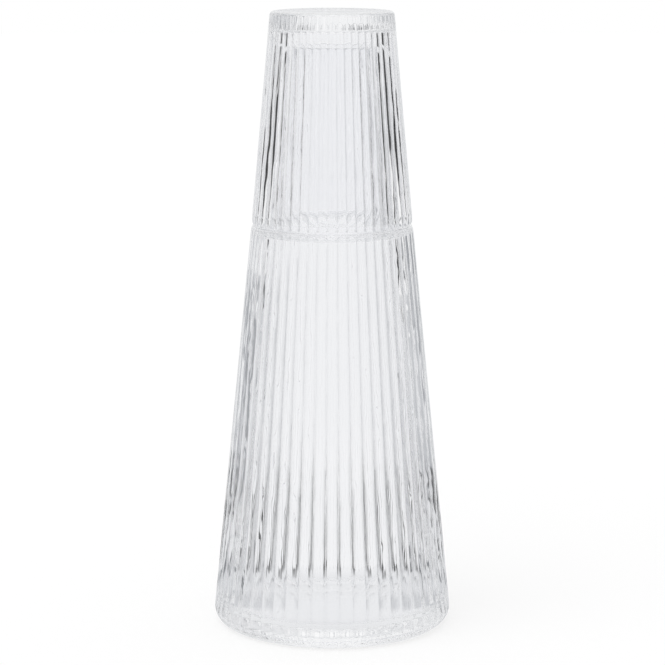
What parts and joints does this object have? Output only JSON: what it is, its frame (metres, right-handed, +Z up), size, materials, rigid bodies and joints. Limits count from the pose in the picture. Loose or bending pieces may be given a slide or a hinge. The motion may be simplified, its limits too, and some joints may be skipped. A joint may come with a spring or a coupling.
{
  "type": "bedside carafe with tumbler",
  "caption": "Tapering ribbed clear-glass carafe with a slim smooth neck, covered by a matching ribbed tumbler that stands upside down over the neck on the shoulder ledge.",
  "frame": {"origin": "middle of the circle on which the carafe stands, in the plane of the table", "axes": "+Z up along the axis of the carafe and the tumbler; the object is round, and a rib crest faces -Y, towards the picture's viewer"},
  "size_m": [0.1064, 0.1064, 0.275],
  "materials": {
    "glass": "clear, polished, mould-ribbed outside and smooth inside"
  },
  "bodies": {
    "carafe_body": {"carafe": "glass"},
    "tumbler_body": {"tumbler": "glass"}
  },
  "joints": [
    {"name": "tumbler_lift", "type": "slide", "parent": "carafe_body", "child": "tumbler_body", "axis": [0, 0, 1], "range_m": [0, 0.12]}
  ]
}
